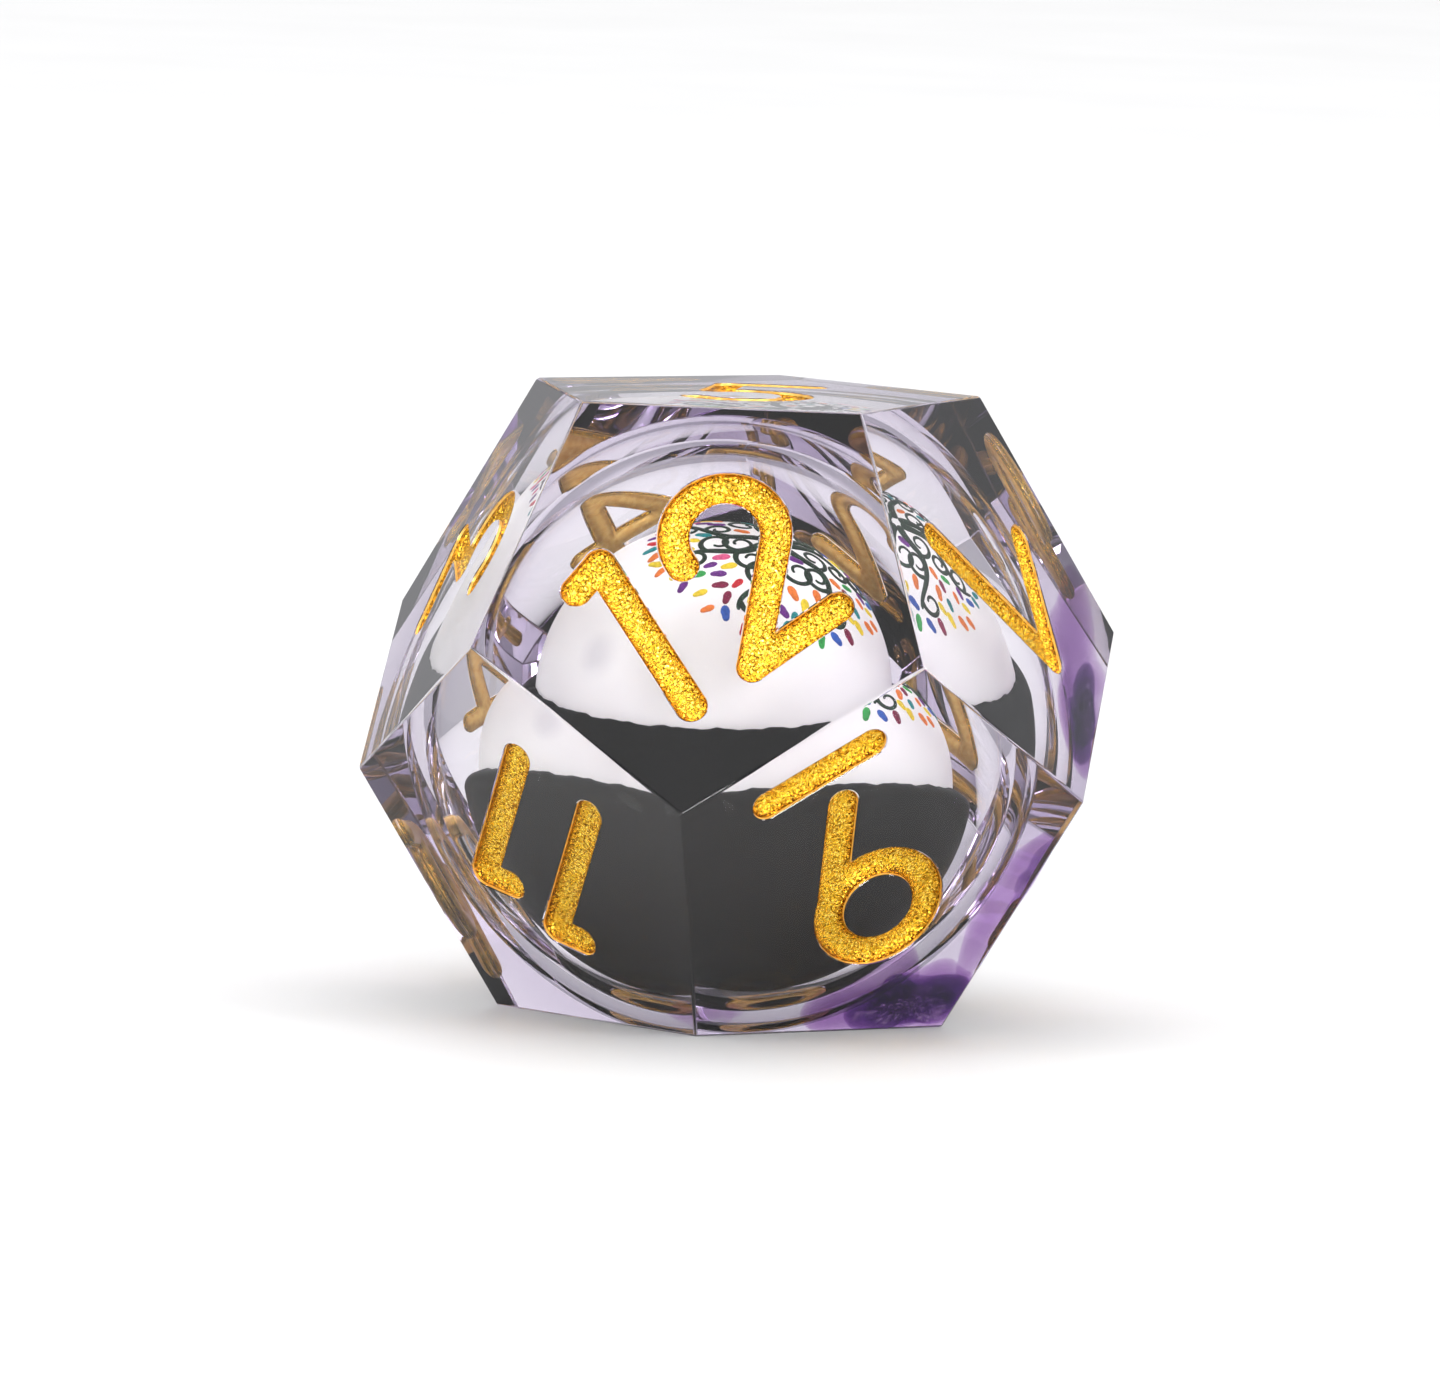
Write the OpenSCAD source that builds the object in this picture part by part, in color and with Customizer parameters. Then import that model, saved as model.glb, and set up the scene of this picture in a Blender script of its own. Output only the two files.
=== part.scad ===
// Twelve-sided playing die in clear resin, with a floating weighted ball sealed in a liquid core.
// Millimetres. The die rests on face 8 with its centre above the origin, and face 12 looks along -Y.

/* [Die body] */
// Distance between opposite faces
across_flats = 24; // [18:0.5:30]
// How far each edge is cut back from sharp
edge_break = 0.05; // [0.02:0.01:0.2]

/* [Numbers] */
// Stroke width of the numbers
stroke_width = 1.24; // [0.8:0.02:1.6]
// Depth of the engraved grooves
groove_depth = 0.5; // [0.3:0.05:0.6]
// How far the paint lies below the face
paint_sink = 0.12; // [0.05:0.01:0.25]

/* [Core capsule] */
// Outer radius of the capsule
capsule_radius = 10.4; // [9:0.1:10.5]
// Wall of the capsule
capsule_wall = 0.6; // [0.4:0.05:1]
// Sideways offset of the capsule from the middle of the die
core_shift = -0.4; // [-0.5:0.1:0.5]
// Height offset of the capsule from the middle of the die
core_drop = -0.65; // [-0.7:0.05:0.2]
// Radius of the filling hole
fill_hole_radius = 1; // [0.6:0.1:1.5]

/* [Floating ball] */
// Radius of the white ball
ball_radius = 7.6; // [6:0.1:8]
// Radius of the black cup around its lower half
cup_radius = 8.5; // [7:0.1:8.7]
// Height of the ball's centre against the capsule's centre
ball_drop = -0.9; // [-1:0.05:0]
// Height of the cup's rim above the ball's centre
rim_height = 0.4; // [0:0.1:1]
// Wall of the white ball
ball_wall = 1.2; // [0.8:0.1:2]
// Height of the metal weight in the ball
weight_height = 2.6; // [1:0.1:4]
// Thickness of the printed film
print_thickness = 0.06; // [0.04:0.01:0.1]
// Half-angle of the printed film, seen from the ball's centre
print_angle = 44; // [30:1:60]
// Lean of the print's middle from the top of the ball
print_lean = 22; // [0:1:30]
// Direction of that lean, from +X towards +Y
print_heading = -30; // [-180:5:180]

/* [Hidden] */
$fn = 96;

// Regular dodecahedron: every length follows from half the distance across flats.
inradius = across_flats / 2;
face_polar = acos(1 / sqrt(5));
face_radius = inradius * (3 - sqrt(5));
edge_distance = inradius / cos(face_polar / 2);
slab = 4 * inradius;

// The five faces round the top and the five round the bottom, counter-clockwise seen from above.
upper_faces = [12, 7, 2, 4, 3];
lower_faces = [9, 10, 1, 6, 11];
top_face = 5;
bottom_face = 8;
fifth = 72;
first_azimuth = -90;

core_centre = [core_shift, 0, inradius + core_drop];
cavity_radius = capsule_radius - capsule_wall;
running_gap = 0.05;
liquid_radius = cavity_radius - running_gap;
lip_radius = cavity_radius + capsule_wall / 2;
lip_height = 0.5;

ball_centre = core_centre + [0, 0, ball_drop];
ball_room = cup_radius + running_gap;
ball_bore = ball_radius - ball_wall;
shoulder = 0.85;
rim_land = 0.15;

glyph = face_radius;
half_stroke = stroke_width / 2;
// Round ends stand this much proud of the runs they join, so no two outlines only touch.
joint_swell = 0.005;

// ---- where each face is ----

function upper_index(face) = search(face, upper_faces)[0];
function lower_index(face) = search(face, lower_faces)[0];
function is_upper(face) = upper_index(face) != undef;
function is_lower(face) = lower_index(face) != undef;

function polar(face) =
    face == top_face ? 0 :
    face == bottom_face ? 180 :
    is_upper(face) ? face_polar : 180 - face_polar;

function azimuth(face) =
    is_upper(face) ? first_azimuth + fifth * upper_index(face) :
    is_lower(face) ? first_azimuth + fifth * (lower_index(face) + 0.5) : 0;

function normal(face) = [sin(polar(face)) * cos(azimuth(face)), sin(polar(face)) * sin(azimuth(face)), cos(polar(face))];

// The face that a number's foot points at.
function foot(face) =
    face == 12 ? 9 :
    face == 1 ? 4 :
    face % 2 == 1 ? 12 : 1;

function turn(face) =
    let (down = [cos(polar(face)) * cos(azimuth(face)), cos(polar(face)) * sin(azimuth(face)), -sin(polar(face))])
    let (across = [-sin(azimuth(face)), cos(azimuth(face)), 0])
    atan2(normal(foot(face)) * down, -normal(foot(face)) * across);

// Stands a flat glyph on a face, from below the groove's floor upwards.
module on_face(face, low, high) {
    translate([0, 0, inradius])
        rotate([0, polar(face), azimuth(face)])
            translate([0, 0, inradius + low])
                rotate([0, 0, turn(face)])
                    linear_extrude(high - low)
                        children();
}

// ---- strokes and glyphs, in units of the face's radius ----

module disc(centre, radius) {
    translate(centre * glyph)
        circle(radius);
}

module dab(p) {
    disc(p, half_stroke + joint_swell);
}

// A straight run with square ends.
module bar(a, b) {
    run = b - a;
    translate(a * glyph)
        rotate(atan2(run[1], run[0]))
            translate([0, -half_stroke])
                square([norm(run) * glyph, stroke_width]);
}

// Straight runs from point to point, with round ends and corners.
module stroke(points) {
    for (p = points)
        dab(p);
    for (i = [1 : len(points) - 1])
        bar(points[i - 1], points[i]);
}

module ring(centre, radius) {
    difference() {
        disc(centre, radius * glyph + half_stroke);
        disc(centre, radius * glyph - half_stroke);
    }
}

function on_circle(centre, radius, angle) = centre + radius * [cos(angle), sin(angle)];

// Where a straight run to a point leaves the circle smoothly, going clockwise.
function leave_angle(centre, radius, point) =
    let (run = point - centre)
    atan2(run[1], run[0]) + acos(radius / norm(run));

// Part of a ring, counter-clockwise from one angle to another, with round ends.
module bow(centre, radius, start, end) {
    reach = 2 * radius * glyph + stroke_width;
    steps = ceil((end - start) / 60);
    corners = [for (i = [0 : steps]) on_circle([0, 0], reach, start + (end - start) * i / steps)];
    intersection() {
        ring(centre, radius);
        translate(centre * glyph)
            polygon(concat([[0, 0]], corners));
    }
    dab(on_circle(centre, radius, start));
    dab(on_circle(centre, radius, end));
}

module glyph_0() {
    radius = 0.21;
    rise = 0.16;
    bow([0, rise], radius, 0, 180);
    bow([0, -rise], radius, 180, 360);
    stroke([[radius, -rise], [radius, rise]]);
    stroke([[-radius, -rise], [-radius, rise]]);
}

module glyph_1() {
    stroke([[0, -0.42], [0, 0.33], [-0.14, 0.28]]);
}

module glyph_2() {
    head = [0, 0.15];
    radius = 0.215;
    corner = [-0.2, -0.41];
    leave = leave_angle(head, radius, corner);
    bow(head, radius, leave, 185);
    stroke([on_circle(head, radius, leave), corner, [0.23, -0.38]]);
}

module glyph_3() {
    belly = [0, -0.17];
    radius = 0.22;
    bow(belly, radius, -140, 98);
    stroke([[-0.22, 0.38], [0.18, 0.38], on_circle(belly, radius, 98)]);
}

module glyph_4() {
    stroke([[0.12, -0.42], [0.12, 0.4], [-0.28, -0.14], [0.3, -0.14]]);
}

module glyph_5() {
    belly = [0, -0.16];
    radius = 0.23;
    bow(belly, radius, -140, 128);
    stroke([[0.22, 0.39], [-0.13, 0.39], on_circle(belly, radius, 128)]);
}

module glyph_9() {
    bowl = [0.02, 0.21];
    radius = 0.225;
    tail = [-0.035, -0.39];
    difference() {
        union() {
            disc(bowl, radius * glyph + half_stroke);
            bar(on_circle(bowl, radius, -12), tail);
            dab(tail);
        }
        disc(bowl, radius * glyph - half_stroke);
    }
}

module glyph_6() {
    rotate(180)
        glyph_9();
}

module glyph_7() {
    stroke([[-0.28, 0.34], [0.27, 0.36], [-0.1, -0.44]]);
}

module glyph_8() {
    ring([0, 0.225], 0.165);
    ring([0, -0.18], 0.225);
}

// The bar under 6 and 9 tells them apart.
module glyph_bar() {
    stroke([[-0.25, -0.6], [0.25, -0.6]]);
}

module glyph_of(name) {
    if (name == "paint_1") glyph_1();
    if (name == "paint_2") glyph_2();
    if (name == "paint_3") glyph_3();
    if (name == "paint_4") glyph_4();
    if (name == "paint_5") glyph_5();
    if (name == "paint_6") glyph_6();
    if (name == "paint_7") glyph_7();
    if (name == "paint_8") glyph_8();
    if (name == "paint_9") glyph_9();
    if (name == "paint_6_bar" || name == "paint_9_bar") glyph_bar();
    if (name == "paint_10_tens") beside(-0.3) glyph_1();
    if (name == "paint_10_ones") beside(0.17) glyph_0();
    if (name == "paint_11_tens") beside(-0.17) glyph_1();
    if (name == "paint_11_ones") beside(0.23) glyph_1();
    if (name == "paint_12_tens") beside(-0.31) glyph_1();
    if (name == "paint_12_ones") beside(0.19) glyph_2();
}

module beside(x) {
    translate([x * glyph, 0])
        children();
}

PAINTS = [["paint_1", 1], ["paint_2", 2], ["paint_3", 3], ["paint_4", 4], ["paint_5", 5], ["paint_6", 6],
          ["paint_7", 7], ["paint_8", 8], ["paint_9", 9], ["paint_10_tens", 10], ["paint_10_ones", 10],
          ["paint_11_tens", 11], ["paint_11_ones", 11], ["paint_12_tens", 12], ["paint_12_ones", 12],
          ["paint_6_bar", 6], ["paint_9_bar", 9]];

// ---- die body ----

// A slab between two parallel planes, its normal at the given polar angle and azimuth.
module plate(distance, tilt, around) {
    rotate([0, tilt, around])
        cube([slab, slab, 2 * distance], center = true);
}

module dodecahedron() {
    intersection() {
        plate(inradius, 0, 0);
        intersection_for (k = [0 : 4])
            plate(inradius, face_polar, first_azimuth + fifth * k);
    }
}

// Planes that take the sharp line off all thirty edges.
module edge_cuts() {
    cut = edge_distance - edge_break;
    intersection_for (k = [0 : 4])
        intersection() {
            plate(cut, face_polar / 2, first_azimuth + fifth * k);
            plate(cut, 90 - face_polar / 2, first_azimuth + fifth * (k + 0.5));
            plate(cut, 90, first_azimuth + fifth * (k - 0.25));
        }
}

module resin_body() {
    color([0.93, 0.92, 0.96, 0.4])
        difference() {
            translate([0, 0, inradius])
                intersection() {
                    dodecahedron();
                    edge_cuts();
                }
            translate(core_centre)
                sphere(capsule_radius);
            for (paint = PAINTS)
                on_face(paint[1], -groove_depth, 1)
                    glyph_of(paint[0]);
        }
}

module paint(index) {
    color([0.85, 0.62, 0.15])
        on_face(PAINTS[index][1], -groove_depth, -paint_sink)
            glyph_of(PAINTS[index][0]);
}

// ---- core capsule and its filling ----

module capsule_shell() {
    difference() {
        sphere(capsule_radius);
        sphere(cavity_radius);
    }
}

// The inner half of the wall carries a lip from the upper half down into the lower half.
module capsule_lip() {
    intersection() {
        capsule_shell();
        translate([0, 0, -lip_height])
            cylinder(h = 2 * lip_height, r = lip_radius);
    }
}

module upper_half() {
    translate([-slab / 2, -slab / 2, 0])
        cube([slab, slab, slab]);
}

module capsule_upper() {
    color([0.9, 0.93, 0.96, 0.4])
        translate(core_centre)
            union() {
                intersection() {
                    capsule_shell();
                    upper_half();
                }
                capsule_lip();
            }
}

module fill_bore() {
    translate([0, 0, -capsule_radius - 1])
        cylinder(h = 1 + 2 * capsule_wall, r = fill_hole_radius);
}

module capsule_lower() {
    color([0.88, 0.91, 0.95, 0.4])
        translate(core_centre)
            difference() {
                capsule_shell();
                upper_half();
                capsule_lip();
                fill_bore();
            }
}

module fill_plug() {
    color([0.8, 0.82, 0.85, 0.6])
        translate(core_centre)
            intersection() {
                capsule_shell();
                fill_bore();
            }
}

module fill_liquid() {
    color([0.85, 0.92, 1, 0.3])
        difference() {
            translate(core_centre)
                sphere(liquid_radius);
            translate(ball_centre)
                sphere(ball_room);
        }
}

// ---- floating ball ----

module ball_shell() {
    color([0.93, 0.92, 0.88])
        translate(ball_centre)
            difference() {
                sphere(ball_radius);
                sphere(ball_bore);
            }
}

// The cup hugs the lower half of the ball, and its shoulder slopes in to the rim.
module ball_cup() {
    color([0.06, 0.06, 0.07])
        translate(ball_centre)
            rotate_extrude()
                difference() {
                    intersection() {
                        circle(cup_radius);
                        polygon([
                            [0, -cup_radius],
                            [cup_radius, -cup_radius],
                            [cup_radius, rim_height - shoulder],
                            [ball_radius + rim_land, rim_height],
                            [0, rim_height]
                        ]);
                    }
                    circle(ball_radius);
                }
}

module ball_weight() {
    color([0.55, 0.56, 0.58])
        translate(ball_centre)
            intersection() {
                sphere(ball_bore);
                translate([0, 0, -ball_bore])
                    cylinder(h = weight_height, r = ball_bore);
            }
}

module ball_print() {
    color([0.3, 0.5, 0.35])
        translate(ball_centre)
            intersection() {
                difference() {
                    sphere(ball_radius + print_thickness);
                    sphere(ball_radius);
                }
                rotate([0, print_lean, print_heading])
                    cylinder(h = slab, r1 = 0, r2 = slab * tan(print_angle));
            }
}

resin_body();
capsule_upper();
capsule_lower();
fill_plug();
fill_liquid();
ball_shell();
ball_cup();
ball_weight();
ball_print();
paint(0);  // paint_1
paint(1);  // paint_2
paint(2);  // paint_3
paint(3);  // paint_4
paint(4);  // paint_5
paint(5);  // paint_6
paint(6);  // paint_7
paint(7);  // paint_8
paint(8);  // paint_9
paint(9);  // paint_10_tens
paint(10);  // paint_10_ones
paint(11);  // paint_11_tens
paint(12);  // paint_11_ones
paint(13);  // paint_12_tens
paint(14);  // paint_12_ones
paint(15);  // paint_6_bar
paint(16);  // paint_9_bar
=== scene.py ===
import math
import random

import bmesh
import bpy
import numpy as np
from mathutils import Matrix, Vector
from mathutils.geometry import delaunay_2d_cdt


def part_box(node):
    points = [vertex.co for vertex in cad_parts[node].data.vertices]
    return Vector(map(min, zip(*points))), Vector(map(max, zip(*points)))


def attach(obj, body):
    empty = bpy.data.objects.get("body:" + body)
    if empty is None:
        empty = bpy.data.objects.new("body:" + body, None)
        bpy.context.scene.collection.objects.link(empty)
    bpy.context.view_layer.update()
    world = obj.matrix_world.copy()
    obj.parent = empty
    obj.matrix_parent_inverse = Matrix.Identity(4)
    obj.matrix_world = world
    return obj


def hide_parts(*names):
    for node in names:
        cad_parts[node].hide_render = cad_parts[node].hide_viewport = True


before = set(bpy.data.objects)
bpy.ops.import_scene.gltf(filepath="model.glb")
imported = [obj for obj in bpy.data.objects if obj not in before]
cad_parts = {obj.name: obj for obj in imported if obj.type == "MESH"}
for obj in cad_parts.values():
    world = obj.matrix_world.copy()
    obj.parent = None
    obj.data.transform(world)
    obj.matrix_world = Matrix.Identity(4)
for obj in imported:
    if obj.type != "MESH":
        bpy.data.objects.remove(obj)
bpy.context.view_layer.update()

MM = 0.001

# ---------------------------------------------------------------- sizes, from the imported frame

low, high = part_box("resin_body")
INRADIUS = (high.z - low.z) / 2
CENTRE = Vector((0, 0, INRADIUS))
EDGE_BREAK = 0.05 * MM        # how far the polish takes each edge back
FACE_POLAR = math.acos(1 / math.sqrt(5))      # angle between neighbouring faces' normals
EDGE_DISTANCE = INRADIUS / math.cos(FACE_POLAR / 2)


def sphere_of(node):
    """Centre and radius of a ball-shaped CAD node."""
    a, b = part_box(node)
    return (a + b) / 2, (b - a).x / 2


CORE, CAPSULE_RADIUS = sphere_of("capsule_upper")
CORE.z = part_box("capsule_upper")[1].z - CAPSULE_RADIUS
LIQUID_CENTRE, LIQUID_RADIUS = sphere_of("fill_liquid")
BALL_CENTRE, BALL_RADIUS = sphere_of("ball_shell")
CUP_RADIUS = BALL_CENTRE.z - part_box("ball_cup")[0].z
RIM_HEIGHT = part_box("ball_cup")[1].z - BALL_CENTRE.z
PRINT_LEAN = math.radians(22)          # print_lean and print_heading of the CAD part
PRINT_HEADING = math.radians(-30)
PRINT_ANGLE = math.acos((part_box("ball_print")[0].z - BALL_CENTRE.z) / BALL_RADIUS) - PRINT_LEAN

# refractive indices: one surface stands for each boundary, with the ratio of its two sides
RESIN_INDEX = 1.54
CAPSULE_INDEX = 1.49
LIQUID_INDEX = 1.40
PLASTIC_INDEX = 1.5

# ---------------------------------------------------------------- the twelve faces

UPPER = [12, 7, 2, 4, 3]
LOWER = [9, 10, 1, 6, 11]


def ring_normal(index, side):
    azimuth = math.radians(-90 + 72 * index)
    flat = math.sin(FACE_POLAR)
    return Vector((flat * math.cos(azimuth), flat * math.sin(azimuth), side * math.cos(FACE_POLAR)))


NORMALS = {5: Vector((0, 0, 1)), 8: Vector((0, 0, -1))}
NORMALS.update({number: ring_normal(k, 1) for k, number in enumerate(UPPER)})
NORMALS.update({number: ring_normal(k + 0.5, -1) for k, number in enumerate(LOWER)})


def foot_of(number):
    """The neighbouring face that a number's foot points at, as on the CAD part."""
    if number in (12, 1):
        return {12: 9, 1: 4}[number]
    return 12 if number % 2 else 1


class Face:
    """A face of the die with a flat frame on it: x to the text's right, y to its top."""

    def __init__(self, number):
        self.number = number
        self.normal = NORMALS[number]
        self.middle = CENTRE + INRADIUS * self.normal
        down = NORMALS[foot_of(number)].copy()
        down -= down.dot(self.normal) * self.normal
        self.up = -down.normalized()
        self.right = self.up.cross(self.normal)

    def flat(self, point):
        offset = point - self.middle
        return offset.dot(self.right), offset.dot(self.up)

    def lift(self, x, y, height=0.0):
        return self.middle + x * self.right + y * self.up + height * self.normal


FACES = {number: Face(number) for number in NORMALS}


def plane_point(planes):
    """Where three planes (normal, distance from the die's centre) meet."""
    rows = Matrix([n for n, _ in planes])
    return rows.inverted() @ Vector([d for _, d in planes]) + CENTRE


def adjacent(a, b):
    return a != b and abs(NORMALS[a].dot(NORMALS[b]) - math.cos(FACE_POLAR)) < 1e-6


def edge_plane(a, b):
    return (NORMALS[a] + NORMALS[b]).normalized(), EDGE_DISTANCE - EDGE_BREAK


CORNERS = [
    (a, b, c)
    for a in NORMALS for b in NORMALS for c in NORMALS
    if a < b < c and adjacent(a, b) and adjacent(b, c) and adjacent(a, c)
]


def around(face, points):
    """Points sorted counter-clockwise about a face's normal, seen from outside."""
    middle = sum(points, Vector()) / len(points)
    return sorted(points, key=lambda p: math.atan2((p - middle).dot(face.up), (p - middle).dot(face.right)))


# ---------------------------------------------------------------- small mesh helpers

SEGMENTS = 160
RINGS = 96


def new_object(name, mesh, materials, body, nodes=()):
    obj = bpy.data.objects.new(name, mesh)
    bpy.context.scene.collection.objects.link(obj)
    for material in materials:
        mesh.materials.append(material)
    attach(obj, body)
    if nodes:
        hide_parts(*nodes)
    return obj


def finish_mesh(bm, name, weld=2e-8):
    """Joins corners that meet, turns every face outward and gives the mesh."""
    bmesh.ops.remove_doubles(bm, verts=bm.verts, dist=weld)
    bmesh.ops.dissolve_degenerate(bm, edges=bm.edges, dist=weld)
    bmesh.ops.recalc_face_normals(bm, faces=bm.faces)
    mesh = bpy.data.meshes.new(name)
    bm.to_mesh(mesh)
    bm.free()
    return mesh


def add_sphere(bm, centre, radius):
    bmesh.ops.create_uvsphere(bm, u_segments=SEGMENTS, v_segments=RINGS, radius=radius)
    bmesh.ops.translate(bm, verts=bm.verts, vec=centre)


def ball_mesh(name, centre, radius):
    bm = bmesh.new()
    add_sphere(bm, centre, radius)
    for face in bm.faces:
        face.smooth = True
    mesh = bpy.data.meshes.new(name)
    bm.to_mesh(mesh)
    bm.free()
    return mesh


def revolve(name, centre, profile, wobble):
    """A closed solid of revolution from (radius, height) points that start and end on the axis,
    with each point raised by wobble(height, angle)."""
    bm = bmesh.new()
    rows = []
    for r, z in profile:
        if r < 1e-9:
            rows.append([bm.verts.new(centre + Vector((0, 0, z)))])
            continue
        row = []
        for k in range(SEGMENTS):
            angle = 2 * math.pi * k / SEGMENTS
            height = z + wobble(z, angle)
            row.append(bm.verts.new(centre + Vector((r * math.cos(angle), r * math.sin(angle), height))))
        rows.append(row)
    for a, b in zip(rows, rows[1:]):
        for k in range(SEGMENTS):
            n = (k + 1) % SEGMENTS
            if len(a) == 1:
                bm.faces.new((a[0], b[k], b[n]))
            elif len(b) == 1:
                bm.faces.new((a[k], b[0], a[n]))
            else:
                bm.faces.new((a[k], b[k], b[n], a[n]))
    for face in bm.faces:
        face.smooth = True
    return finish_mesh(bm, name)


def arc_points(radius, start, end, steps):
    """(radius, height) points on a circle about the axis origin, angles from the top pole."""
    angles = [start + (end - start) * k / steps for k in range(steps + 1)]
    return [(radius * math.sin(a), radius * math.cos(a)) for a in angles]


# ---------------------------------------------------------------- materials

def material(name):
    mat = bpy.data.materials.new(name)
    mat.use_nodes = True
    tree = mat.node_tree
    return mat, tree, tree.nodes["Principled BSDF"]


def add(tree, kind, **settings):
    node = tree.nodes.new(kind)
    for key, value in settings.items():
        setattr(node, key, value)
    return node


def object_coordinates(tree):
    return add(tree, "ShaderNodeTexCoord").outputs["Object"]


def noise(tree, grain, detail):
    """A smooth random value from 0 to 1 that changes over about one grain."""
    node = add(tree, "ShaderNodeTexNoise")
    node.inputs["Scale"].default_value = 1 / grain
    node.inputs["Detail"].default_value = detail
    node.inputs["Roughness"].default_value = 0.5
    tree.links.new(object_coordinates(tree), node.inputs["Vector"])
    return node.outputs["Fac"]


def ramp(tree, source, stops):
    """A colour that runs through stops of (place from 0 to 1, colour) as the source rises."""
    node = add(tree, "ShaderNodeValToRGB")
    elements = node.color_ramp.elements
    while len(elements) < len(stops):
        elements.new(0.5)
    for element, (position, colour) in zip(elements, stops):
        element.position = position
        element.color = (*colour, 1)
    tree.links.new(source, node.inputs["Fac"])
    return node.outputs["Color"]


def clear_material(name, index, absorb=None):
    """Clear stuff: index is the ratio across the surface, absorb is (colour, density)."""
    mat, tree, shader = material(name)
    shader.inputs["Base Color"].default_value = (1, 1, 1, 1)
    shader.inputs["Roughness"].default_value = 0.0
    shader.inputs["IOR"].default_value = index
    shader.inputs["Transmission Weight"].default_value = 1.0
    if absorb:
        volume = add(tree, "ShaderNodeVolumeAbsorption")
        volume.inputs["Color"].default_value = (*absorb[0], 1)
        volume.inputs["Density"].default_value = absorb[1]
        tree.links.new(volume.outputs["Volume"], tree.nodes["Material Output"].inputs["Volume"])
    return mat


FLAKE_SIZE = 0.06 * MM


def gold_material(name, stops, tilt_size):
    """Gold paint full of coarse metal flakes, each with its own tilt and tone."""
    mat, tree, shader = material(name)
    flakes = add(tree, "ShaderNodeTexVoronoi")
    flakes.inputs["Scale"].default_value = 1 / FLAKE_SIZE
    tree.links.new(object_coordinates(tree), flakes.inputs["Vector"])
    split = add(tree, "ShaderNodeSeparateColor")
    tree.links.new(flakes.outputs["Color"], split.inputs["Color"])
    tree.links.new(ramp(tree, split.outputs["Red"], stops), shader.inputs["Base Color"])
    shader.inputs["Metallic"].default_value = 0.8
    shader.inputs["Roughness"].default_value = 0.26
    centred = add(tree, "ShaderNodeVectorMath", operation="SUBTRACT")
    centred.inputs[1].default_value = (0.5, 0.5, 0.5)
    tree.links.new(flakes.outputs["Color"], centred.inputs[0])
    tilt = add(tree, "ShaderNodeVectorMath", operation="SCALE")
    tilt.inputs["Scale"].default_value = tilt_size
    tree.links.new(centred.outputs[0], tilt.inputs[0])
    total = add(tree, "ShaderNodeVectorMath", operation="ADD")
    tree.links.new(add(tree, "ShaderNodeNewGeometry").outputs["Normal"], total.inputs[0])
    tree.links.new(tilt.outputs[0], total.inputs[1])
    unit = add(tree, "ShaderNodeVectorMath", operation="NORMALIZE")
    tree.links.new(total.outputs[0], unit.inputs[0])
    tree.links.new(unit.outputs[0], shader.inputs["Normal"])
    return mat


def paint_back_material():
    """The paint's matte underside, which shows through the resin."""
    mat, tree, shader = material("gold_paint_underside")
    tone = ramp(tree, noise(tree, grain=0.3 * MM, detail=4), [
        (0.3, (0.84, 0.47, 0.08)),
        (0.7, (1.0, 0.70, 0.20)),
    ])
    tree.links.new(tone, shader.inputs["Base Color"])
    shader.inputs["Metallic"].default_value = 0.6
    shader.inputs["Roughness"].default_value = 0.35
    return mat


def spot_tone(tree, tone, middle, radius, shade):
    """The tone with a soft spot of a duller shade on it."""
    reach = add(tree, "ShaderNodeVectorMath", operation="DISTANCE")
    reach.inputs[1].default_value = middle
    tree.links.new(object_coordinates(tree), reach.inputs[0])
    share = add(tree, "ShaderNodeMath", operation="MULTIPLY")
    share.inputs[1].default_value = 1 / radius
    tree.links.new(reach.outputs["Value"], share.inputs[0])
    both = add(tree, "ShaderNodeVectorMath", operation="MULTIPLY")
    tree.links.new(tone, both.inputs[0])
    tree.links.new(ramp(tree, share.outputs[0], [(0.2, shade), (0.7, (1, 1, 1))]), both.inputs[1])
    return both.outputs[0]


def plastic_material(name, dark, light, roughness, spot=None):
    """Slightly mottled plastic under the liquid; spot is (middle, radius, shade) of a duller mark."""
    mat, tree, shader = material(name)
    shader.inputs["IOR"].default_value = PLASTIC_INDEX / LIQUID_INDEX
    tone = ramp(tree, noise(tree, grain=2.5 * MM, detail=4), [(0.3, dark), (0.7, light)])
    if spot:
        tone = spot_tone(tree, tone, *spot)
    tree.links.new(tone, shader.inputs["Base Color"])
    shader.inputs["Roughness"].default_value = roughness
    return mat


def ink_print_material(name, colour):
    """One printing ink, a little uneven as inks are."""
    mat, tree, shader = material(name)
    shader.inputs["IOR"].default_value = PLASTIC_INDEX / LIQUID_INDEX
    dark = tuple(c * 0.72 for c in colour)
    light = tuple(min(1.0, c * 1.12) for c in colour)
    tone = ramp(tree, noise(tree, grain=0.12 * MM, detail=3), [(0.3, dark), (0.65, light)])
    tree.links.new(tone, shader.inputs["Base Color"])
    shader.inputs["Roughness"].default_value = 0.35
    return mat


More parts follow.
